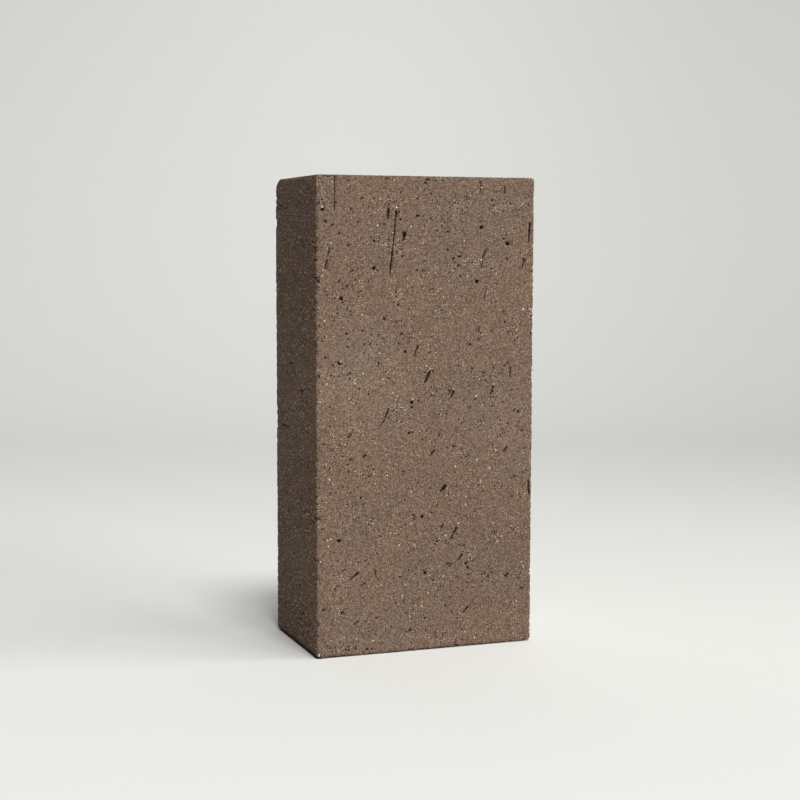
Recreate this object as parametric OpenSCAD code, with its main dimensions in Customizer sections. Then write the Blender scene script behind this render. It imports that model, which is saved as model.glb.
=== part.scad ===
// Solid clay paver, pushed through a die as a column and cut off by a wire.
// It stands on one end: width along X, thickness along Y, length up Z.
// The origin is the middle of the end it stands on, and the marked wire-cut face looks along -Y.

/* [Paver] */
// Width across a wire-cut face
paver_width = 100; // [90:1:120]
// Thickness between the two wire-cut faces
paver_thickness = 60; // [45:1:80]
// Length, which is the height while the paver stands on its end
paver_length = 205; // [190:1:250]

/* [Arrises] */
// Radius that the die leaves on the four arrises along the thickness
die_radius = 1.6; // [1:0.1:4]
// Width of the flat broken off the sharp arrises round each wire-cut face
arris_break = 0.5; // [0.3:0.1:1]

/* [Worn corner] */
// How far the worn corner reaches along the width
worn_width = 3; // [2:0.5:8]
// How far the worn corner reaches along the thickness
worn_thickness = 9; // [3:0.5:12]
// How far the worn corner reaches down the length
worn_length = 5.5; // [3:0.5:12]

/* [Drag furrows] */
// Width of the furrow that a hard grain leaves as the wire drags it along the face
furrow_width = 0.9; // [0.6:0.1:1.5]
// Depth of a furrow at the middle of its length
furrow_depth = 0.7; // [0.5:0.1:1.2]

/* [Pits] */
// Opening of the pit that a torn-out grain leaves in a wire-cut face
pit_opening = 1.8; // [1:0.1:3]
// Depth of such a pit
pit_depth = 0.8; // [0.4:0.1:1.2]

/* [Hidden] */
$fn = 128;

clay_colour = [0.46, 0.38, 0.32];
// The deepest furrows: share of the width, share of the length, length in mm, lean in degrees
furrows = [
    [0.34, 0.86, 24, 6],
    [0.50, 0.58, 6, 26],
    [0.30, 0.50, 11, 28],
    [0.05, 0.83, 9, 13],
    [0.97, 0.88, 9, 4],
    [0.76, 0.83, 8, 15],
    [0.45, 0.64, 5, 19],
    [0.80, 0.55, 4, 23],
    [0.62, 0.54, 3, 24],
    [0.58, 0.34, 3, 45],
    [0.63, 0.25, 6, 29],
    [0.17, 0.17, 4, 51],
];
// The deepest pits: share of the width, share of the length
pits = [
    [0.26, 0.81],
    [0.16, 0.80],
    [0.30, 0.70],
    [0.48, 0.81],
    [0.12, 0.75],
    [0.88, 0.86],
    [0.70, 0.60],
    [0.40, 0.32],
];
// Radius of the wheel whose rim sweeps a furrow of a given length
function wheel_radius(length) = (length * length / 4 + furrow_depth * furrow_depth) / (2 * furrow_depth);
// Radius of the ball that leaves a pit of the set opening and depth
pit_radius = (pit_opening * pit_opening / 4 + pit_depth * pit_depth) / (2 * pit_depth);
// Flats that round the worn corner: shares of its reach along the width, thickness and length
worn_flats = [
    [1, 0.65, 0.65],
    [0.6, 1, 0.35],
    [0.6, 0.35, 1],
];
// Side of the block that cuts a flat, large enough for any reach that may be set
worn_block = 3 * max(worn_width, worn_thickness, worn_length);

// Section of the clay column as the die shapes it, seen along the thickness
module die_section() {
    corner_x = paver_width / 2 - die_radius;
    corner_y = paver_length / 2 - die_radius;
    square([paver_width, 2 * corner_y], center = true);
    square([2 * corner_x, paver_length], center = true);
    for (side = [-1, 1], end = [-1, 1])
        translate([side * corner_x, end * corner_y])
            circle(r = die_radius);
}

// Rectangle with its four corners cut at 45 degrees
module broken_rectangle(across, along) {
    half_across = across / 2;
    half_along = along / 2;
    polygon([
        [-half_across + arris_break, -half_along],
        [half_across - arris_break, -half_along],
        [half_across, -half_along + arris_break],
        [half_across, half_along - arris_break],
        [half_across - arris_break, half_along],
        [-half_across + arris_break, half_along],
        [-half_across, half_along - arris_break],
        [-half_across, -half_along + arris_break],
    ]);
}

// One slice of the column, its cut faces bordered by a small break
module cut_slice() {
    intersection() {
        translate([0, 0, paver_length / 2])
            rotate([90, 0, 0])
                linear_extrude(height = paver_thickness, center = true)
                    die_section();
        linear_extrude(height = paver_length)
            broken_rectangle(paver_width, paver_thickness);
        rotate([90, 0, 90])
            linear_extrude(height = paver_width, center = true)
                translate([0, paver_length / 2])
                    broken_rectangle(paver_thickness, paver_length);
    }
}

// Block whose lower side is one flat of the worn corner, at the far left of the top end
module worn_flat_cutter(share) {
    reach = [share.x * worn_width, share.y * worn_thickness, share.z * worn_length];
    normal = [-1 / reach.x, 1 / reach.y, 1 / reach.z];
    translate([-paver_width / 2 + reach.x, paver_thickness / 2, paver_length])
        rotate([0, 0, atan2(normal.y, normal.x)])
            rotate([0, acos(normal.z / norm(normal)), 0])
                translate([-worn_block / 2, -worn_block / 2, 0])
                    cube(worn_block);
}

// Wheel with a round rim, sunk by the furrow's depth into the marked face
module furrow_cutter(length, lean) {
    radius = wheel_radius(length);
    rotate([0, lean, 0])
        translate([0, furrow_depth - radius, 0])
            rotate([0, 90, 0])
                rotate_extrude() {
                    translate([0, -furrow_width / 2])
                        square([radius - furrow_width / 2, furrow_width]);
                    translate([radius - furrow_width / 2, 0])
                        intersection() {
                            circle(d = furrow_width);
                            translate([0, -furrow_width / 2])
                                square([furrow_width, furrow_width]);
                        }
                }
}

// Ball sunk by the pit's depth into the marked face
module pit_cutter() {
    translate([0, pit_depth - pit_radius, 0])
        sphere(r = pit_radius);
}

// Place on the marked face, as shares of its width and length
module on_marked_face(place) {
    translate([(place[0] - 0.5) * paver_width, -paver_thickness / 2, place[1] * paver_length])
        children();
}

module paver() {
    color(clay_colour)
        difference() {
            cut_slice();
            for (flat = worn_flats)
                worn_flat_cutter(flat);
            for (furrow = furrows)
                on_marked_face(furrow)
                    furrow_cutter(furrow[2], furrow[3]);
            for (pit = pits)
                on_marked_face(pit)
                    pit_cutter();
        }
}

paver();
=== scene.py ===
import math
import random

import bmesh
import bpy
import numpy as np
from mathutils import Euler, Matrix, Vector, noise


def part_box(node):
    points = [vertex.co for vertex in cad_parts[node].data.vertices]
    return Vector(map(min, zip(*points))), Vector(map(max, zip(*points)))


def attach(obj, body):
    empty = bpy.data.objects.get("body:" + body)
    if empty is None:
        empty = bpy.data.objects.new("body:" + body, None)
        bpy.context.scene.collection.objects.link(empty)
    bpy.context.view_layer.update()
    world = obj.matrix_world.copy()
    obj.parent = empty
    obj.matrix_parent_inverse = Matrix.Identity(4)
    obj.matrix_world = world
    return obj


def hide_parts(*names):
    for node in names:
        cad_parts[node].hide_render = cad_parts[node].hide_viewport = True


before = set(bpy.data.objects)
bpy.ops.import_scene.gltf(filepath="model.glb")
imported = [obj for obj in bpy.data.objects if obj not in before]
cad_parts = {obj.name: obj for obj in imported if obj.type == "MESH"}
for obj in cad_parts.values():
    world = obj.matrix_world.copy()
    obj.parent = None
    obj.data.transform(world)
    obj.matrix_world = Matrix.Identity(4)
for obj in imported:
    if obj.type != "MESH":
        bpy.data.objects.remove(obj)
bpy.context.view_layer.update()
millimetre = 0.001
tiny = 1e-7


class Wire:
    # one output socket of a material's tree, so that shader maths reads as arithmetic
    def __init__(self, tree, socket=None):
        self.tree = tree
        self.socket = socket

    def add(self, kind, settings=None, sockets=None, output=0):
        node = self.tree.nodes.new(kind)
        for name, value in (settings or {}).items():
            setattr(node, name, value)
        for name, value in (sockets or {}).items():
            if isinstance(value, Wire):
                self.tree.links.new(value.socket, node.inputs[name])
            else:
                node.inputs[name].default_value = value
        return Wire(self.tree, node.outputs[output])

    def math(self, operation, *values):
        return self.add("ShaderNodeMath", {"operation": operation}, dict(enumerate(values)))

    def __add__(self, other):
        return self.math("ADD", self, other)

    def __sub__(self, other):
        return self.math("SUBTRACT", self, other)

    def __rsub__(self, other):
        return self.math("SUBTRACT", other, self)

    def __mul__(self, other):
        return self.math("MULTIPLY", self, other)

    __radd__ = __add__
    __rmul__ = __mul__

    def magnitude(self):
        return self.math("ABSOLUTE", self)

    def atLeast(self, least):
        return self.math("MAXIMUM", self, least)

    def between(self, low, high):
        # 0 under low, 1 over high and smooth in the middle; low may be the greater one
        sockets = {0: self, 1: low, 2: high, 3: 0.0, 4: 1.0}
        return self.add("ShaderNodeMapRange", {"interpolation_type": "SMOOTHSTEP"}, sockets)

    def lifted(self, least):
        # what runs from 0 to 1 runs from least to 1
        return self * (1 - least) + least

    def tint(self, first, second):
        return self.add("ShaderNodeMix", {"data_type": "RGBA"}, {0: self, 6: first, 7: second}, output=2)

    def channel(self, index):
        return self.add("ShaderNodeSeparateColor", None, {0: self}, output=index)

    def part(self, index):
        return self.add("ShaderNodeSeparateXYZ", None, {0: self}, output=index)

    def moved(self, shift):
        return self.add("ShaderNodeVectorMath", {"operation": "ADD"}, {0: self, 1: shift})

    def stretched(self, factors):
        return self.add("ShaderNodeVectorMath", {"operation": "MULTIPLY"}, {0: self, 1: factors})

    def away(self, spot):
        return self.add("ShaderNodeVectorMath", {"operation": "DISTANCE"}, {0: self, 1: spot}, output="Value")

    def noise(self, scale, detail=2.0, roughness=0.5, output=0):
        # output 0 is a value, output 1 a colour
        sockets = {"Vector": self, "Scale": scale, "Detail": detail, "Roughness": roughness}
        return self.add("ShaderNodeTexNoise", None, sockets, output=output)

    def cells(self, scale, output):
        # output 0 is the distance to the nearest cell's middle, output 1 that cell's own random colour
        return self.add("ShaderNodeTexVoronoi", None, {"Vector": self, "Scale": scale}, output=output)

    def crumpled(self, scale, reach):
        # the same place, pulled about by a noise of the given scale
        pull = self.noise(scale, output=1).moved((-0.5, -0.5, -0.5))
        return self.moved(pull.stretched((reach, reach, reach)))


def newMaterial(name):
    material = bpy.data.materials.new(name)
    material.use_nodes = True
    tree = material.node_tree
    tree.nodes.clear()
    surface = tree.nodes.new("ShaderNodeBsdfPrincipled")
    sheet = tree.nodes.new("ShaderNodeOutputMaterial")
    tree.links.new(surface.outputs[0], sheet.inputs["Surface"])
    return material, Wire(tree), surface


def feed(node, name, wire):
    wire.tree.links.new(wire.socket, node.inputs[name])


camera = {
    "place": (-0.2536, -0.6821, 0.1758),  # metres from the middle of the foot
    "yaw": 0.3544,  # radians
    "pitch": 0.0946,
    "roll": 0.0022,
    "lens": 73.57,
    "sensor": 36,
    "clip": (0.01, 30),
}


def addCamera(spec):
    data = bpy.data.cameras.new("photoCamera")
    data.lens = spec["lens"]
    data.sensor_width = spec["sensor"]
    data.clip_start, data.clip_end = spec["clip"]
    holder = bpy.data.objects.new("photoCamera", data)
    bpy.context.scene.collection.objects.link(holder)
    holder.location = spec["place"]
    level = Euler((math.pi / 2 - spec["pitch"], 0, -spec["yaw"])).to_matrix()
    holder.rotation_euler = (level @ Matrix.Rotation(spec["roll"], 3, "Z")).to_euler()
    bpy.context.scene.camera = holder
    print("camera: lens of", spec["lens"], "mm")


addCamera(camera)

cadLow, cadHigh = (Vector(corner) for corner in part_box("paver"))

clay = {
    "body": (0.139, 0.0905, 0.063, 1),
    "greyer": (0.133, 0.0905, 0.0655, 1),
    "redder": (0.146, 0.0895, 0.0605, 1),
    "light": (0.30, 0.225, 0.170, 1),  # the grain varies between this and the deep colour
    "deep": (0.022, 0.010, 0.006, 1),
    # painted shade: the near-black colour of the pores and the deepest marks, standing for the shade inside
    # them
    "holeShade": (0.012, 0.005, 0.003, 1),
    "pale": (0.56, 0.48, 0.37, 1),
    "rust": (0.30, 0.17, 0.09, 1),
    "dieFaces": (1.0, 0.96, 0.975, 1),  # painted shade tint on the die faces, beside the wire-cut faces: a little redder and darker, fitted to the side face in shade
    "skinEnd": (29.0, 29.8),  # where the skin fades out, in millimetres along Y from the middle
    # soft paler and darker patches on the marked face: x, z, reach and how much paler
    "patches": [(-32, 118, 42, 0.15), (38, 98, 26, 0.08), (36, 40, 50, -0.07), (-5, 60, 36, -0.03)],
    "patch": 26,  # sizes of the clay's patches, blotches, clots, grit and dust, in millimetres
    "blotch": 9,
    "clot": 3.2,
    "grit": 0.8,
    "dust": 0.36,
    "mottle": (0.35, 0.65),  # values of the noise where a patch or blotch begins and where it is full
    "clotMottle": (0.4, 0.6),
    "rustMottle": (0.2, 0.9),
    "clotContrast": 0.18,
    "gritContrast": 0.3,
    "dustContrast": 1.22,
    "dragged": 0.3,  # the die draws the clay's grain out along Y by the inverse of this
    "dotDragged": 2.0,  # the pores and specks, by the inverse of this times the grain's
    "dotSpacing": 1.15,  # pores and pale specks, often one beside the other
    "dotEdge": 0.03,  # softness of their edges, as a share of the spacing
    # share of the cells that hold one, greatest radius in millimetres, least share of it, faintest one
    "pores": {"channel": 0, "share": 0.6, "reach": 0.52, "least": 0.4, "faintest": 0.7},
    "specks": {"channel": 1, "share": 0.85, "reach": 0.58, "least": 0.6, "faintest": 0.35},
    "skinPores": 0.2,  # how much larger the pores are in the die's skin
    "speckShift": (0.35, 0.0, -0.4),  # from a pore to the speck beside it
    "crumple": 0.5,  # how far the pores and specks are pulled out of round, in millimetres
    "crumpleScale": 1.4,
    "hollowShade": 0.97,  # painted shade: how much darker the deepest pits and the foot's contact shadow are
    "bump": 0.35,
    "clotHeight": 0.15,  # heights in the bump, in millimetres
    "gritHeight": 0.12,
    "dustHeight": 0.05,
    "poreDepth": 0.25,
    "roughness": 0.94,
    "sheen": 0.2,  # specular level, low on dusty clay
}


def clayDots(place, spec, kind, spread):
    # dots in some of the cells of a pattern, and the cells' random colours
    scale = 1 / spec["dotSpacing"]
    choice = place.cells(scale, 1)
    size = choice.channel(kind["channel"]).between(1 - kind["share"], 1) * spread * kind["reach"] * scale
    return (place.cells(scale, 0) - size).between(spec["dotEdge"], -spec["dotEdge"]), choice


def clayMaterial(spec):
    material, tree, surface = newMaterial("firedClay")
    dragged = spec["dragged"]
    place = tree.add("ShaderNodeTexCoord", output=3)
    place = place.stretched((1 / millimetre, dragged / millimetre, 1 / millimetre))
    patches = place.noise(1 / spec["patch"], detail=3.0).between(*spec["mottle"])
    blotches = place.noise(1 / spec["blotch"]).between(*spec["mottle"])
    clots = place.noise(1 / spec["clot"], detail=3.0, roughness=0.6)
    grit = place.noise(1 / spec["grit"], roughness=0.6)
    dust = place.cells(1 / spec["dust"], 1).channel(0)
    skinEdge, cutEdge = [dragged * depth for depth in spec["skinEnd"]]
    dieFaces = place.part(1).magnitude().between(cutEdge, skinEdge)
    # pores, painted darker as the shade in the holes, and pale specks beside them
    dotPlace = place.stretched((1, spec["dotDragged"], 1)).crumpled(spec["crumpleScale"], spec["crumple"])
    poreSpread = blotches.lifted(spec["pores"]["least"]) + dieFaces * spec["skinPores"]
    pore, poreChoice = clayDots(dotPlace, spec, spec["pores"], poreSpread)
    speckSpread = blotches.lifted(spec["specks"]["least"])
    speck, speckChoice = clayDots(dotPlace.moved(spec["speckShift"]), spec, spec["specks"], speckSpread)
    paintedShade = tree.add("ShaderNodeAttribute", {"attribute_name": "paintedShade"}, output="Fac")
    tone = (
        (clots - 0.5) * spec["clotContrast"]
        + (grit - 0.5) * spec["gritContrast"]
        + (dust - 0.5) * spec["dustContrast"]
    )
    front = cadLow.y / millimetre * dragged
    for x, z, reach, paler in spec["patches"]:
        tone = tone + place.away((x, front, z)).between(reach, 0) * paler
    colour = patches.tint(spec["greyer"], spec["redder"])
    colour = clots.between(*spec["clotMottle"]).tint(colour, spec["body"])
    colour = tone.atLeast(0).tint(colour, spec["light"])
    colour = (0 - tone).atLeast(0).tint(colour, spec["deep"])
    speckTone = speckChoice.channel(2).between(*spec["rustMottle"]).tint(spec["pale"], spec["rust"])
    colour = (speck * speckChoice.channel(0).lifted(spec["specks"]["faintest"])).tint(colour, speckTone)
    # painted shade: the pores darkened toward the hole shade colour
    colour = (pore * poreChoice.channel(2).lifted(spec["pores"]["faintest"])).tint(colour, spec["holeShade"])
    # painted shade: the marks and the contact shadow along the foot, read from the paintedShade attribute
    colour = (paintedShade * spec["hollowShade"]).tint(colour, spec["holeShade"])
    # painted shade tint on the die faces
    feed(surface, "Base Color", colour.stretched(dieFaces.tint((1, 1, 1, 1), spec["dieFaces"])))
    height = (
        grit * spec["gritHeight"]
        + dust * spec["dustHeight"]
        - pore * spec["poreDepth"]
        + clots * spec["clotHeight"]
    )
    bumpSockets = {"Height": height, "Distance": millimetre, "Strength": spec["bump"]}
    feed(surface, "Normal", tree.add("ShaderNodeBump", None, bumpSockets))
    surface.inputs["Roughness"].default_value = spec["roughness"]
    surface.inputs["Specular IOR Level"].default_value = spec["sheen"]
    return material


firedClay = clayMaterial(clay)
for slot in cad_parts["paver"].material_slots:
    slot.material = firedClay
print("clay: material laid on the paver")

marks = {
    # furrows that a grain leaves under the wire: from x, z to x, z and the width, in millimetres
    "drags": [
        (-41.5, 204.8, -41.6, 190.2, 0.6), (-17.6, 190.9, -18.0, 186.6, 1.15),
        (-14.0, 189.6, -14.2, 188.0, 1.3), (-14.2, 189.3, -15.8, 173.1, 0.75),
        (-15.8, 173.1, -16.9, 163.5, 1.0), (-10.5, 180.8, -10.9, 178.0, 1.5),
        (-43.9, 174.3, -44.6, 170.9, 0.7), (-44.8, 169.4, -45.9, 165.7, 0.8),
        (24.4, 202.7, 24.8, 198.1, 0.7), (35.9, 200.9, 35.9, 198.1, 0.6), (47.9, 185.6, 47.3, 177.0, 0.9),
        (45.2, 169.8, 44.5, 166.1, 0.8), (27.4, 174.0, 25.6, 170.2, 0.8), (25.2, 167.8, 25.2, 166.0, 0.7),
        (27.3, 157.8, 26.2, 151.8, 0.5), (-21.9, 126.2, -22.1, 124.5, 0.9), (-4.3, 132.8, -5.8, 128.5, 0.9),
        (1.3, 121.5, -0.9, 117.0, 1.3), (31.2, 114.7, 29.7, 111.1, 0.9), (10.9, 113.4, 10.1, 111.3, 0.8),
        (12.2, 112.8, 11.0, 110.1, 0.9), (39.3, 122.6, 38.7, 118.1, 0.7), (-17.4, 106.3, -18.7, 102.9, 0.9),
        (-18.7, 102.9, -22.3, 97.0, 0.45), (-34.2, 96.0, -36.0, 94.4, 0.8), (-27.8, 86.9, -28.8, 85.6, 0.9),
        (3.3, 87.4, 1.8, 85.3, 0.9), (37.6, 87.4, 36.2, 85.6, 0.9), (8.7, 71.6, 6.8, 69.7, 1.5),
        (-5.9, 59.6, -5.7, 57.8, 1.0), (14.2, 53.2, 11.6, 48.5, 1.0), (16.6, 41.0, 15.1, 39.0, 0.9),
        (38.8, 31.0, 37.5, 29.9, 1.1), (-31.3, 36.1, -34.4, 33.6, 1.0), (-28.1, 31.4, -30.2, 30.2, 0.8),
        (-23.4, 36.2, -23.4, 34.4, 0.8), (-31.2, 15.0, -32.8, 13.9, 0.9), (19.8, 17.8, 17.4, 15.3, 0.9),
        (48.4, 72.0, 48.5, 66.7, 0.9), (7.6, 54.7, 6.7, 53.0, 0.8),
    ],
    # pits where a grain was torn out, x and z of each
    "pits": [
        (-0.9, 121.4), (-46, 204.5), (-44.5, 204), (-35.5, 202.5), (-18.5, 203.5), (-19, 201.5),
        (-19, 199.5), (-12, 198), (-47, 194.5), (-41, 193.5), (-45.5, 185.5), (-34.5, 191), (-12, 186.5),
        (-19.5, 184.5), (-31, 185.5), (-36.5, 185.5), (-17.5, 178), (-24, 177.5), (-35.5, 175.5),
        (-39.5, 180.5), (-42.5, 184), (-34.8, 166.8), (-33.8, 165.2), (-22.8, 165.2), (-34.5, 164.5),
        (-29, 166), (-48.5, 160.5), (-42.5, 158.5), (-36, 158.5), (-39.5, 160.5), (-14, 156), (0, 203.5),
        (3.5, 203), (-1, 202), (1.5, 197.5), (-4.5, 195.5), (30, 195), (38.5, 193.5), (47.5, 192.5),
        (44.5, 188), (-4.5, 188), (-2, 188), (1.5, 187), (4.5, 182), (9.5, 181.5), (15, 182.5), (24.5, 186),
        (35.5, 178.5), (17.5, 176.5), (9.5, 174), (15.5, 172.5), (15, 171), (12, 170), (14.5, 167),
        (37, 170), (48, 164.5), (-11, 171), (-2, 165), (-4.5, 165), (32.5, 159), (15.5, 162.5),
        (37.5, 154.5), (-13, 150.5), (2.5, 157), (-36, 149), (-42, 144), (-48.5, 142), (-36.5, 138.5),
        (-33.5, 140), (-29, 139.5), (-14, 143), (-11.5, 143.5), (-10.5, 141.5), (-11.5, 138), (-13, 134),
        (-20.5, 136.5), (-26, 134), (-23, 133.5), (-28.5, 134), (-47, 135.5), (-36, 133), (-45.5, 128.5),
        (-42.5, 125.5), (-43, 121), (-39.5, 120.5), (-35, 122), (-30.5, 115), (-41, 111.5), (-35.5, 110),
        (-11.5, 100.5), (-43.5, 99.5), (-43.5, 105), (34, 143), (36.5, 142.5), (30, 138.5), (20, 133),
        (-10, 130.5), (21, 122.5), (27.5, 117), (26.5, 120.5), (36.5, 123.5), (38, 124.5), (22.5, 109),
        (40, 112.5), (-7, 106.5), (-4, 109), (2.5, 107), (30.5, 106), (36, 107.5), (41, 103.5), (43, 103),
        (3.5, 103.5), (-8, 101.5), (24, 97), (26.5, 101), (38, 98), (42, 96.5), (45, 94.5), (6, 94),
        (-2, 92.5), (-46.5, 92), (-24.5, 93.5), (-34.5, 85), (-36, 83), (-38, 86.5), (-26.5, 77.5),
        (-11, 79), (-43.5, 75), (-38, 73.5), (-30, 68.5), (-29, 65.5), (-36, 66), (-10, 66.5), (-25, 59.5),
        (-27.5, 52.5), (-46.5, 51.5), (-42, 45.5), (-22.5, 44), (-40, 36.5), (9.5, 88.5), (12.5, 89),
        (16, 84), (13, 77.5), (41.5, 74.5), (45.5, 76), (-4, 73.5), (2, 71), (24.5, 71.5), (26.5, 68.5),
        (40.5, 65.5), (5, 63.5), (45.5, 46.5), (15.5, 45.5), (17.5, 45), (5, 47.5), (4, 46.5), (19.5, 35),
        (19.5, 32), (14, 31.5), (-12, 33), (29.5, 30.5), (-22, 32.5), (-42, 32), (-31.5, 29), (-39, 25.5),
        (-10.5, 22), (-47, 21), (-23, 16), (-25, 10.5), (-49, 8), (-35.5, 3), (-43, 2.5), (-27, 2.5),
        (-25, 2.5), (19.5, 28.5), (11, 22.5), (9, 19), (12, 16), (15, 13), (15, 11), (-0.5, 14),
        (47.5, 15.5), (45.5, 24), (4.5, 5), (45, 3.5), (14, 1), (4, 7.5), (-7.5, 9.5),
    ],
    "largePits": [
        (-46.5, 190.5), (-24, 166.0), (37.5, 176.5), (-19.5, 144.5), (-39.5, 126), (-7, 108.5), (-8, 95.5),
        (25, 183.5), (23, 160), (-2, 59), (-0.5, 34), (18.5, 37), (-38.5, 153.5), (-40, 50.5), (10.5, 37),
        (-38, 19),
    ],
    # marks on the die face that the camera sees, y and z of each
    "sidePits": [
        (-22, 14), (-20, 12.5), (-24, 12), (-12, 30), (-5, 27), (8, 22), (-17, 22), (-3, 34), (19, 24),
        (-6, 193), (-4, 198), (-8, 197), (8, 199), (14, 186), (-16, 201), (-21, 173), (16, 163), (-13, 152),
        (1, 147), (13, 120), (-19, 118), (-17, 98), (3, 94), (-21, 84), (14, 78), (-8, 66), (3, 40),
        (-19, 36), (13, 30), (2, 20), (17, 14), (-9.5, 177.5), (5, 178), (22.5, 157), (-22.5, 166.5),
        (-5, 165), (5.5, 136.5), (-14, 137.5), (22.5, 130), (11, 104), (22.5, 110), (8.5, 86), (-2.5, 74.5),
        (19.5, 71.5), (10.5, 58), (-15.5, 61.5), (24, 51), (20.5, 49), (-2.5, 52), (-1.5, 48.5), (-12, 24),
        (-9, 16), (-8, 11.5), (-17, 8),
    ],
    "sideDrags": [(7.5, 124, 4.5, 124.3, 1.2), (-8, 113.2, -12, 113, 1.2), (21, 95.5, 7, 95.5, 0.7)],
    # chips along the arrises: x, y, z and the reach
    "chips": [
        (-50, -30, 186, 1.2), (-50, -30, 183, 1.0), (-50, -30, 178, 1.3), (-50, -30, 169.5, 1.1),
        (-50, -30, 162, 1.0), (-50, -30, 60.5, 1.2), (-50, -30, 42, 1.1), (-50, -30, 15, 1.3),
        (50, -30, 148, 1.2), (50, -30, 138.5, 1.0), (50, -30, 131, 1.1), (50, -30, 119.5, 1.2),
        (49.3, -30, 144.5, 1.0), (49.3, -30, 137.5, 1.0), (-50, 30, 185.5, 2.2), (-50, 30, 196.4, 1.3),
        (-50, 30, 193.5, 1.2), (-50, 30, 102, 1.5), (-50, 30, 98, 1.6), (-50, 30, 94, 1.4),
    ],
    "arrisChips": 900,  # more chips thrown along the arrises
    "hiddenPits": 190,  # thrown on the back
    "hiddenDrags": 34,
    "diePits": 45,  # thrown on each die face out of view
    "pitWidths": (0.7, 1.1),  # least and greatest width of each kind, in millimetres
    "largePitWidths": (1.4, 1.8),
    "sidePitWidths": (0.8, 1.3),
    "diePitWidths": (0.7, 1.3),
    "chipWidths": (0.6, 1.7),
    "hiddenPitWidths": (0.7, 0.8, 0.9, 1.0, 1.6),  # one of these
    "hiddenDragWidths": (0.6, 1.2),
    "hiddenDragRuns": (2, 6),
    "hiddenDragLeans": (2, 45),  # degrees
    "hiddenDragMargins": (4, 8),  # kept free along the width's ends and the length's
    "depthShare": 0.55,  # depth of a mark as a share of its width
    "taper": 0.4,  # what a drag loses of its width toward its end
    "raggedness": 0.75,  # how uneven the rim of a mark is
    "steepness": 3,
    "shownSeed": 3,
    "chipSeed": 5,
    "hiddenSeed": 7,
}

paver = {
    "step": 0.5 * millimetre,  # lattice on the hidden faces, halved on the two faces in view
    "dieRadius": 1.6 * millimetre,  # round of the four arrises along the thickness
    "footRadius": 2.2 * millimetre,  # of the two at the foot, more worn
    "arrisBreak": (0.25 * millimetre, 1.0 * millimetre),  # least and greatest break round a wire-cut face
    "breakDetail": 0.45,  # share of the finer noise in the breaks
    "breakRarity": 2,  # the greater, the fewer wide breaks
    "breakBend": 1.5,  # a break is flat at 1 and round at 2
    "wornReach": (3.2 * millimetre, 10 * millimetre, 6.3 * millimetre),  # worn corner, far left, at the top
    "wornFlats": ((1, 0.65, 0.65), (0.6, 1, 0.35), (0.6, 0.35, 1)),
    "waviness": 0.16 * millimetre,
    "roughness": 0.07 * millimetre,
    "fineShare": 0.8,  # of the finer noise in the ragged surface
    # noises, each the width of its humps and its seed
    "breakNoise": (9 * millimetre, 7),
    "breakDetailNoise": (1.7 * millimetre, 8),
    "raggedNoise": (0.9 * millimetre, 3),
    "fineNoise": (0.45 * millimetre, 4),
    "waveNoise": (38 * millimetre, 5),
    "darkDepth": 0.3 * millimetre,  # a mark this deep gets wholly dark painted shade
    "footShadowHeights": (1.7 * millimetre, 0.35 * millimetre),  # height of the painted contact shadow along the foot, under the die face and elsewhere
    "footShadowFade": 0.5 * millimetre,
    "triangles": 190000,
}


def lattice(low, high, step):
    # box faces cut into small squares, smaller on the two faces that the camera sees
    block = bmesh.new()
    bmesh.ops.create_cube(block, size=1)
    bmesh.ops.scale(block, vec=high - low, verts=block.verts)
    bmesh.ops.translate(block, vec=(low + high) / 2, verts=block.verts)
    for axis in range(3):
        along = [edge for edge in block.edges if abs(edge.verts[0].co[axis] - edge.verts[1].co[axis]) > tiny]
        cuts = round((high[axis] - low[axis]) / step) - 1
        bmesh.ops.subdivide_edges(block, edges=along, cuts=cuts, use_grid_fill=True)
    shown = [
        edge
        for edge in block.edges
        if any(max(vert.co[axis] for vert in edge.verts) < low[axis] + tiny for axis in (0, 1))
    ]
    bmesh.ops.subdivide_edges(block, edges=shown, cuts=1, use_grid_fill=True)
    data = bpy.data.meshes.new("paverBody")
    block.to_mesh(data)
    block.free()
    return data


def cloud(points, cell, seed):
    # smooth noise between about -1 and 1, with humps one cell wide; seeds lie far apart in it
    seedStep = 17.3
    return np.array([noise.noise(place) for place in (points / cell + seed * seedStep).tolist()])


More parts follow.
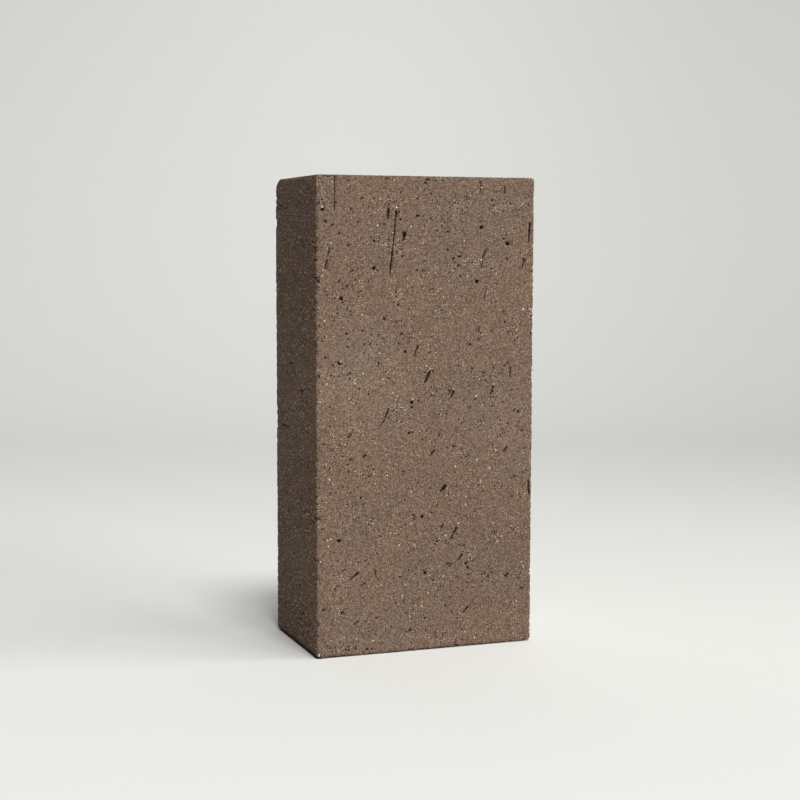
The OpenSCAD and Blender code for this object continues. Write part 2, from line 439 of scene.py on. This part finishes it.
def roundArrises(points, low, high, spec):
    # die arrises round in the XZ section, wire-cut arrises broken by an uneven amount, one corner worn
    centre, half = (high + low) / 2, (high - low) / 2
    spot = points - centre
    section = spot[:, [0, 2]]
    radius = np.where(section[:, 1] < 0, spec["footRadius"], spec["dieRadius"])
    inner = half[[0, 2]] - radius[:, None]
    core = np.clip(section, -inner, inner)
    out = section - core
    length = np.linalg.norm(out, axis=1)
    out *= (np.abs(out).max(axis=1) / np.maximum(length, tiny))[:, None]
    section = core + out
    # how far each point lies inside the section's outline, and the way to it
    gap = np.abs(section) - inner
    outermost = gap.max(axis=1)
    depth = radius - np.linalg.norm(np.maximum(gap, 0), axis=1) - np.minimum(outermost, 0)
    toEdge = np.where(outermost[:, None] > 0, np.maximum(gap, 0), (gap == outermost[:, None]) * 1.0)
    toEdge = np.sign(section) * toEdge / np.maximum(np.linalg.norm(toEdge, axis=1), tiny)[:, None]
    least, most = spec["arrisBreak"]
    detail = spec["breakDetail"] * cloud(points, *spec["breakDetailNoise"])
    uneven = 0.5 + 0.5 * cloud(points, *spec["breakNoise"]) + detail
    broken = least + (most - least) * np.clip(uneven, 0, 1) ** spec["breakRarity"]
    across = np.maximum(broken - depth, 0)
    deep = np.maximum(broken - (half[1] - np.abs(spot[:, 1])), 0)
    bend = spec["breakBend"]
    size = (across**bend + deep**bend) ** (1 / bend)
    share = np.where(np.minimum(across, deep) > 0, np.maximum(across, deep) / np.maximum(size, tiny), 1)
    spot[:, [0, 2]] = section - toEdge * (across * (1 - share))[:, None]
    spot[:, 1] -= np.sign(spot[:, 1]) * deep * (1 - share)
    for shares in spec["wornFlats"]:
        reach = np.array(spec["wornReach"]) * shares
        nearness = 1 - (np.abs(half * (-1, 1, 1) - spot) / reach).sum(axis=1)
        inward = np.array((1, -1, -1)) / reach
        spot += inward * (np.maximum(nearness, 0) / (inward @ inward))[:, None]
    return spot + centre


def markDepths(points, ragged, dents, spec):
    # depth under the face that the dents give at each point; a dent narrows from its start to its end
    order = np.argsort(points[:, 2])
    sortedPoints, sortedRagged = points[order], ragged[order]
    heights = sortedPoints[:, 2]
    depths = np.zeros(len(points))
    for start, end, reach, deep in dents:
        bottom, top = min(start[2], end[2]) - reach, max(start[2], end[2]) + reach
        first, last = np.searchsorted(heights, (bottom, top))
        near, line = sortedPoints[first:last] - start, end - start
        share = np.clip(near @ line / max(line @ line, tiny * tiny), 0, 1)
        gap = np.linalg.norm(near - share[:, None] * line, axis=1) / (reach * (1 - spec["taper"] * share))
        uneven = 1 + spec["raggedness"] * sortedRagged[first:last]
        bowl = deep * np.clip(1 - (gap * uneven) ** spec["steepness"], 0, 1)
        np.maximum(depths[first:last], bowl, out=depths[first:last])
    result = np.empty_like(depths)
    result[order] = depths
    return result


def dent(start, end, width):
    start, end = np.array(start) * millimetre, np.array(end) * millimetre
    return start, end, width / 2 * millimetre, width * marks["depthShare"] * millimetre


def pit(spot, width):
    return dent(spot, spot, width)


def shownDents(low, spec):
    # marks of the two faces in view, put down one by one
    front, left = low.y / millimetre, low.x / millimetre
    dice = random.Random(spec["shownSeed"])
    dents = [dent((x, front, z), (toX, front, toZ), width) for x, z, toX, toZ, width in spec["drags"]]
    dents += [pit((x, front, z), dice.uniform(*spec["pitWidths"])) for x, z in spec["pits"]]
    dents += [pit((x, front, z), dice.uniform(*spec["largePitWidths"])) for x, z in spec["largePits"]]
    dents += [pit((left, y, z), dice.uniform(*spec["sidePitWidths"])) for y, z in spec["sidePits"]]
    dents += [dent((left, y, z), (left, toY, toZ), width) for y, z, toY, toZ, width in spec["sideDrags"]]
    return dents


def chips(low, high, spec):
    # bits broken off the arrises, some listed and the rest thrown by chance
    dice = random.Random(spec["chipSeed"])
    low, high = low / millimetre, high / millimetre
    dents = [pit((x, y, z), 2 * reach) for x, y, z, reach in spec["chips"]]
    arrisAxes = ((0, 1), (0, 1), (1, 2), (0, 2))  # of the two faces that meet, the upright arrises twice
    for _ in range(spec["arrisChips"]):
        spot = Vector([dice.uniform(low[index], high[index]) for index in range(3)])
        first, second = dice.choice(arrisAxes)
        spot[first] = dice.choice((low, high))[first]
        spot[second] = dice.choice((low, high))[second]
        dents.append(pit(spot, dice.uniform(*spec["chipWidths"])))
    return dents


def hiddenDents(low, high, spec):
    # the same kinds of mark, thrown by chance on the back and, fewer, on the other die faces
    dice = random.Random(spec["hiddenSeed"])
    low, high = low / millimetre, high / millimetre
    dents = []
    for _ in range(spec["hiddenPits"]):
        spot = (dice.uniform(low.x, high.x), high.y, dice.uniform(low.z, high.z))
        dents.append(pit(spot, dice.choice(spec["hiddenPitWidths"])))
    acrossMargin, alongMargin = spec["hiddenDragMargins"]
    for _ in range(spec["hiddenDrags"]):
        x = dice.uniform(low.x + acrossMargin, high.x - acrossMargin)
        z = dice.uniform(low.z + alongMargin, high.z - alongMargin)
        spot = Vector((x, high.y, z))
        lean = math.radians(dice.uniform(*spec["hiddenDragLeans"]))
        run = Vector((math.sin(lean), 0, math.cos(lean))) * dice.uniform(*spec["hiddenDragRuns"])
        dents.append(dent(spot + run, spot, dice.uniform(*spec["hiddenDragWidths"])))
    for axis, side in ((0, high), (2, low), (2, high)):
        for _ in range(spec["diePits"]):
            spot = Vector([dice.uniform(low[index], high[index]) for index in range(3)])
            spot[axis] = side[axis]
            dents.append(pit(spot, dice.uniform(*spec["diePitWidths"])))
    return dents


def addBody(spec):
    data = lattice(cadLow, cadHigh, spec["step"])
    low, high = np.array(cadLow), np.array(cadHigh)
    points = np.empty(len(data.vertices) * 3, np.float32)
    data.vertices.foreach_get("co", points)
    points = roundArrises(points.reshape(-1, 3).astype(float), low, high, spec)
    data.vertices.foreach_set("co", points.ravel())
    data.update()
    normals = np.empty(len(points) * 3, np.float32)
    data.vertex_normals.foreach_get("vector", normals)
    ragged = cloud(points, *spec["raggedNoise"]) + spec["fineShare"] * cloud(points, *spec["fineNoise"])
    waves = 0.5 + 0.5 * cloud(points, *spec["waveNoise"])
    sink = spec["waviness"] * waves + spec["roughness"] * (1 + ragged)
    dents = shownDents(cadLow, marks) + hiddenDents(cadLow, cadHigh, marks)
    hollows = markDepths(points, ragged, dents, marks)
    broken = markDepths(points, ragged, chips(cadLow, cadHigh, marks), marks)
    print("paver: lattice of", len(points), "points,", np.count_nonzero(hollows), "of them in the marks")
    # painted shade: the marks get darker the deeper they are, and a painted contact shadow runs along the foot;
    # the chips have the clay's own colour
    underDie, elsewhere = spec["footShadowHeights"]
    footShadowLine = np.where(points[:, 0] < low[0] + spec["footRadius"], underDie, elsewhere * (1 + ragged))
    footShade = (footShadowLine - points[:, 2]) / spec["footShadowFade"] + 0.5
    shade = np.clip(np.maximum(hollows / spec["darkDepth"], footShade), 0, 1)
    points -= normals.reshape(-1, 3) * (sink + np.maximum(hollows, broken))[:, None]
    points = np.clip(points, low, high)
    data.vertices.foreach_set("co", points.ravel())
    data.attributes.new("paintedShade", "FLOAT", "POINT").data.foreach_set("value", shade)
    data.update()
    body = bpy.data.objects.new("paverBody", data)
    bpy.context.scene.collection.objects.link(body)
    plain = body.vertex_groups.new(name="plain")
    plain.add(np.flatnonzero(hollows + broken == 0).tolist(), 1, "REPLACE")
    thin = body.modifiers.new("thin", "DECIMATE")
    thin.ratio = spec["triangles"] / (2 * len(data.polygons))
    thin.vertex_group = "plain"  # only vertices outside the marks are joined
    finished = bpy.data.meshes.new_from_object(body.evaluated_get(bpy.context.evaluated_depsgraph_get()))
    body.modifiers.clear()
    body.data = finished
    for face in finished.polygons:
        face.use_smooth = True
    finished.materials.append(firedClay)
    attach(body, "root")
    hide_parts("paver")
    print("paver: body of", len(finished.polygons), "faces")
    return body


paverBody = addBody(paver)

grains = {
    # the hard grains in the clay, each colour a linear red, green and blue
    "colours": {
        "white": (0.66, 0.61, 0.52, 1),
        "pale": (0.50, 0.43, 0.33, 1),
        "ochre": (0.50, 0.36, 0.17, 1),
        "orange": (0.42, 0.24, 0.15, 1),
        "red": (0.20, 0.09, 0.07, 1),
        "blue": (0.13, 0.14, 0.15, 1),
    },
    "sizes": {  # least and greatest radius of each, in millimetres
        "white": (0.45, 0.55),
        "pale": (0.34, 0.6),
        "ochre": (0.36, 0.58),
        "orange": (0.4, 0.68),
        "red": (0.3, 0.55),
        "blue": (0.25, 0.45),
    },
    "width": (0.7, 1.1),  # a pebble's stretch across, into the clay and along
    "flatness": 0.55,
    "length": (0.8, 1.5),
    "turn": 0.6,  # greatest turn either way, in radians
    "brightness": (0.72, 1.18),
    "roughness": 0.6,
    "sunk": 0.22,  # how deep in a mark a grain may lie, in millimetres
    "sunkShare": 0.25,  # of its radius, under that
    "hidden": 130,  # grains thrown on the back
    "hiddenColours": ("pale", "pale", "pale", "ochre", "orange", "red", "blue"),
    "hiddenMargin": 2,
    "seed": 11,
    # places of grains on the marked face, in millimetres from its middle line and from the foot
    "placed": {
        "white": [
            (-14, 191.6), (-47, 191.5), (1.6, 123), (23, 110.5), (-6.5, 110), (-48.8, 1.6), (-22.5, 184),
            (-29.5, 146.5),
        ],
        "pale": [
            (-42.5, 202), (-48.5, 149.5), (-46, 144), (-32.5, 119), (-29, 121.5), (-32.5, 117.5),
            (-45, 117.5), (-42, 116), (-47.5, 114.5), (-48, 110), (-49, 102), (-21.5, 130), (-20, 119),
            (-15.5, 113), (-10, 115), (10, 160.5), (28.5, 163), (22.5, 143.5), (26, 106.5), (45, 148),
            (48, 148), (-47, 94), (-18.5, 86.5), (-45.5, 79), (-44, 77), (-42.5, 75), (-47, 65.5),
            (-48.5, 69.5), (-4, 85.5), (8, 85.5), (23.5, 82.5), (32.5, 86.5), (13.5, 80), (16, 72.5),
            (18.5, 66.5), (18.5, 63), (26, 62), (-7, 56), (31.5, 54), (33.5, 46), (-12.5, 47), (23, 43.5),
            (-43.5, 51.5), (-44.5, 48.5), (-16.5, 52.5), (-48, 42), (-34.5, 41), (-32, 40), (-26.5, 30),
            (-20.5, 30), (-37.5, 8.5), (-32, 7.5), (-24.5, 6), (-13.5, 2.5), (-11, 24.5), (-7.5, 15.5),
            (38.5, 18.5), (18.5, 6.5), (23, 3.5), (25, 200.5), (25, 169.5), (-0.2, 124.2), (15, 55),
            (-24.5, 163.5), (-47, 163), (17, 177.5), (-3.5, 96.2), (12, 182.5),
        ],
        "ochre": [
            (-15, 203), (-13.5, 203.5), (-16, 164.5), (-7.5, 183.5), (41.5, 156.5), (-6, 147), (-3, 135),
            (42, 139), (-13.5, 111.5), (-5, 96), (-24, 78.5), (-18, 77.5), (-7, 70), (-44, 61), (-45, 51),
            (-5.5, 46.5), (8, 32), (-9.5, 29.5), (-2, 19.5), (-2, 163), (0.5, 121.9), (35.5, 48),
        ],
        "orange": [
            (-1, 180.5), (15.5, 145.5), (41, 129), (-41.5, 102.5), (26.5, 98.5), (-37, 91.5), (20.5, 78),
            (29.5, 78.5), (25.5, 73), (-1.5, 69), (-31, 62), (21, 41), (39.5, 31.5), (-24.5, 29), (-5, 20),
            (1, 25), (43, 18.5), (-15, 175), (-24, 168.5), (12.2, 114), (31.2, 115.5), (-39, 127),
            (-30.5, 37.5), (35, 182.5), (15.5, 174), (2.2, 121.1),
        ],
        "red": [
            (-45.5, 189), (-38, 155), (-23.5, 98.5), (-7.5, 159.5), (-42.5, 54.5), (-33.5, 36.5),
            (15, 182.5), (10.5, 37), (-6, 59), (-44.5, 201),
        ],
        "blue": [
            (-27, 187.5), (-30, 159.5), (-34.5, 155.5), (11.5, 173.5), (1, 150), (26, 135.5), (8.5, 122.5),
            (38.5, 118), (-23.5, 55), (-16, 49), (-38, 19),
        ],
    },
}


def grainMaterial(spec):
    material, tree, surface = newMaterial("hardGrain")
    colour = tree.add("ShaderNodeAttribute", {"attribute_name": "tone"}, output="Color")
    feed(surface, "Base Color", colour)
    surface.inputs["Roughness"].default_value = spec["roughness"]
    return material


def addGrains(spec, body):
    # squashed pebbles set in the clay, their tops at about the level of the face
    dice = random.Random(spec["seed"])
    low, high = cadLow / millimetre, cadHigh / millimetre
    seeds = []
    for colour, places in spec["placed"].items():
        seeds += [(colour, Vector((x, low.y, z)), Vector((0, 1, 0))) for x, z in places]
    margin = spec["hiddenMargin"]
    for _ in range(spec["hidden"]):
        colour = dice.choice(spec["hiddenColours"])
        x, z = dice.uniform(low.x + margin, high.x - margin), dice.uniform(low.z + margin, high.z - margin)
        seeds.append((colour, Vector((x, high.y, z)), Vector((0, -1, 0))))
    heap = bmesh.new()
    tone = heap.verts.layers.float_color.new("tone")
    for colour, spot, inward in seeds:
        found, hit, _, _ = body.ray_cast((spot - inward) * millimetre, inward)
        if not found:
            continue
        depth = min((hit / millimetre - spot) @ inward, spec["sunk"])
        size = dice.uniform(*spec["sizes"][colour]) * millimetre
        pebble = bmesh.ops.create_icosphere(heap, subdivisions=1, radius=size)["verts"]
        stretch = (dice.uniform(*spec["width"]), spec["flatness"], dice.uniform(*spec["length"]))
        turn = Matrix.Rotation(dice.uniform(-spec["turn"], spec["turn"]), 3, "Y")
        middle = (spot + inward * depth) * millimetre + inward * size * spec["sunkShare"]
        bmesh.ops.scale(heap, vec=stretch, verts=pebble)
        bmesh.ops.rotate(heap, cent=(0, 0, 0), matrix=turn, verts=pebble)
        bmesh.ops.translate(heap, vec=middle, verts=pebble)
        light = dice.uniform(*spec["brightness"])
        for vert in pebble:
            vert.co = [min(max(value, least), most) for value, least, most in zip(vert.co, cadLow, cadHigh)]
            vert[tone] = (*[channel * light for channel in spec["colours"][colour][:3]], 1)
    data = bpy.data.meshes.new("paverGrains")
    heap.to_mesh(data)
    heap.free()
    for face in data.polygons:
        face.use_smooth = True
    data.materials.append(grainMaterial(spec))
    grit = bpy.data.objects.new("paverGrains", data)
    bpy.context.scene.collection.objects.link(grit)
    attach(grit, "root")
    print("grains:", len(seeds), "set in the faces")


addGrains(grains, paverBody)

studio = {
    "paperColour": (0.75, 0.75, 0.72, 1),
    "paperRoughness": 0.9,
    # painted shade on the sheet: how much darker it gets toward the wall, to the right, and to the right at the
    # wall
    "wallShade": 0.155,
    "rightShade": 0.12,
    "rightWallShade": 0.1,
    "wallSpan": (-0.1, 0.7),  # metres over which it darkens, away from the camera and to the right
    "rightSpan": (-0.15, 0.55),
    "wallDistance": 0.75,
    "bendRadius": 0.6,
    "bendSteps": 32,
    "halfWidth": 2.5,
    "nearEdge": 1.4,
    "wallHeight": 2.2,
    "weld": 1e-6,
    "skyColour": (0.68, 0.68, 0.65, 1),  # over the sheet, for the camera's rays only
    "aimHeight": 0.1,  # the softboxes turn round a point this far over the floor
    # sizes and distances in metres, turns and heights in degrees
    "lights": {
        "topSoftbox": {"watts": 121, "size": 1.1, "distance": 4.0, "turn": 74, "height": 66},
        "sideSoftbox": {"watts": 70, "size": 1.7, "distance": 4.0, "turn": 0, "height": 26},
        "lowSoftbox": {"watts": 108, "size": 1.9, "distance": 4.0, "turn": 33, "height": 12},
    },
}


def paperMaterial(spec):
    material, tree, surface = newMaterial("paper")
    place = tree.add("ShaderNodeTexCoord", output=3)
    toRight = place.part(0).between(*spec["rightSpan"])
    toWall = place.part(1).between(*spec["wallSpan"])
    # painted shade, darker toward the wall and to the right
    shade = toWall * spec["wallShade"] + toRight * (toWall * spec["rightWallShade"] + spec["rightShade"])
    feed(surface, "Base Color", shade.tint(spec["paperColour"], (0, 0, 0, 1)))
    surface.inputs["Roughness"].default_value = spec["paperRoughness"]
    return material


def addBackdrop(spec):
    # floor, bend and wall in one sheet, square to the camera
    sheet = bmesh.new()
    halfWidth, wallDistance = spec["halfWidth"], spec["wallDistance"]
    corners = [sheet.verts.new((side * halfWidth, wallDistance, 0)) for side in (1, -1)]
    crease = sheet.edges.new(corners)
    bend = bmesh.ops.spin(
        sheet,
        geom=[*corners, crease],
        cent=(0, wallDistance, spec["bendRadius"]),
        axis=(1, 0, 0),
        angle=math.pi / 2,
        steps=spec["bendSteps"],
        use_merge=False,
    )["geom_last"]
    bendTop = [edge for edge in bend if isinstance(edge, bmesh.types.BMEdge)]
    wall = bmesh.ops.extrude_edge_only(sheet, edges=bendTop)["geom"]
    wallVerts = [vert for vert in wall if isinstance(vert, bmesh.types.BMVert)]
    bmesh.ops.translate(sheet, vec=(0, 0, spec["wallHeight"]), verts=wallVerts)
    floor = bmesh.ops.extrude_edge_only(sheet, edges=[crease])["geom"]
    floorVerts = [vert for vert in floor if isinstance(vert, bmesh.types.BMVert)]
    bmesh.ops.translate(sheet, vec=(0, -wallDistance - spec["nearEdge"], 0), verts=floorVerts)
    bmesh.ops.remove_doubles(sheet, verts=sheet.verts, dist=spec["weld"])
    bmesh.ops.recalc_face_normals(sheet, faces=sheet.faces)
    for face in sheet.faces:
        face.smooth = True
    data = bpy.data.meshes.new("paperSweep")
    sheet.to_mesh(data)
    sheet.free()
    data.materials.append(paperMaterial(spec))
    sweep = bpy.data.objects.new("paperSweep", data)
    bpy.context.scene.collection.objects.link(sweep)
    sweep.rotation_euler.z = -camera["yaw"]
    print("studio: paper sweep laid")


addBackdrop(studio)


def addLights(spec):
    world = bpy.data.worlds.new("studio")
    world.use_nodes = True
    background = world.node_tree.nodes["Background"]
    background.inputs["Color"].default_value = spec["skyColour"]
    feed(background, "Strength", Wire(world.node_tree).add("ShaderNodeLightPath", output="Is Camera Ray"))
    bpy.context.scene.world = world
    for name, box in spec["lights"].items():
        data = bpy.data.lights.new(name, "AREA")
        data.shape = "SQUARE"
        data.size = box["size"]
        data.energy = box["watts"]
        lamp = bpy.data.objects.new(name, data)
        bpy.context.scene.collection.objects.link(lamp)
        turn = -camera["yaw"] - math.radians(box["turn"])
        height = math.radians(box["height"])
        aim = Vector((math.cos(turn) * math.cos(height), math.sin(turn) * math.cos(height), math.sin(height)))
        lamp.location = aim * box["distance"] + Vector((0, 0, spec["aimHeight"]))
        lamp.rotation_euler = aim.to_track_quat("Z", "Y").to_euler()
    print("studio:", len(spec["lights"]), "softboxes hung")


addLights(studio)
bpy.context.scene.view_settings.view_transform = "Standard"
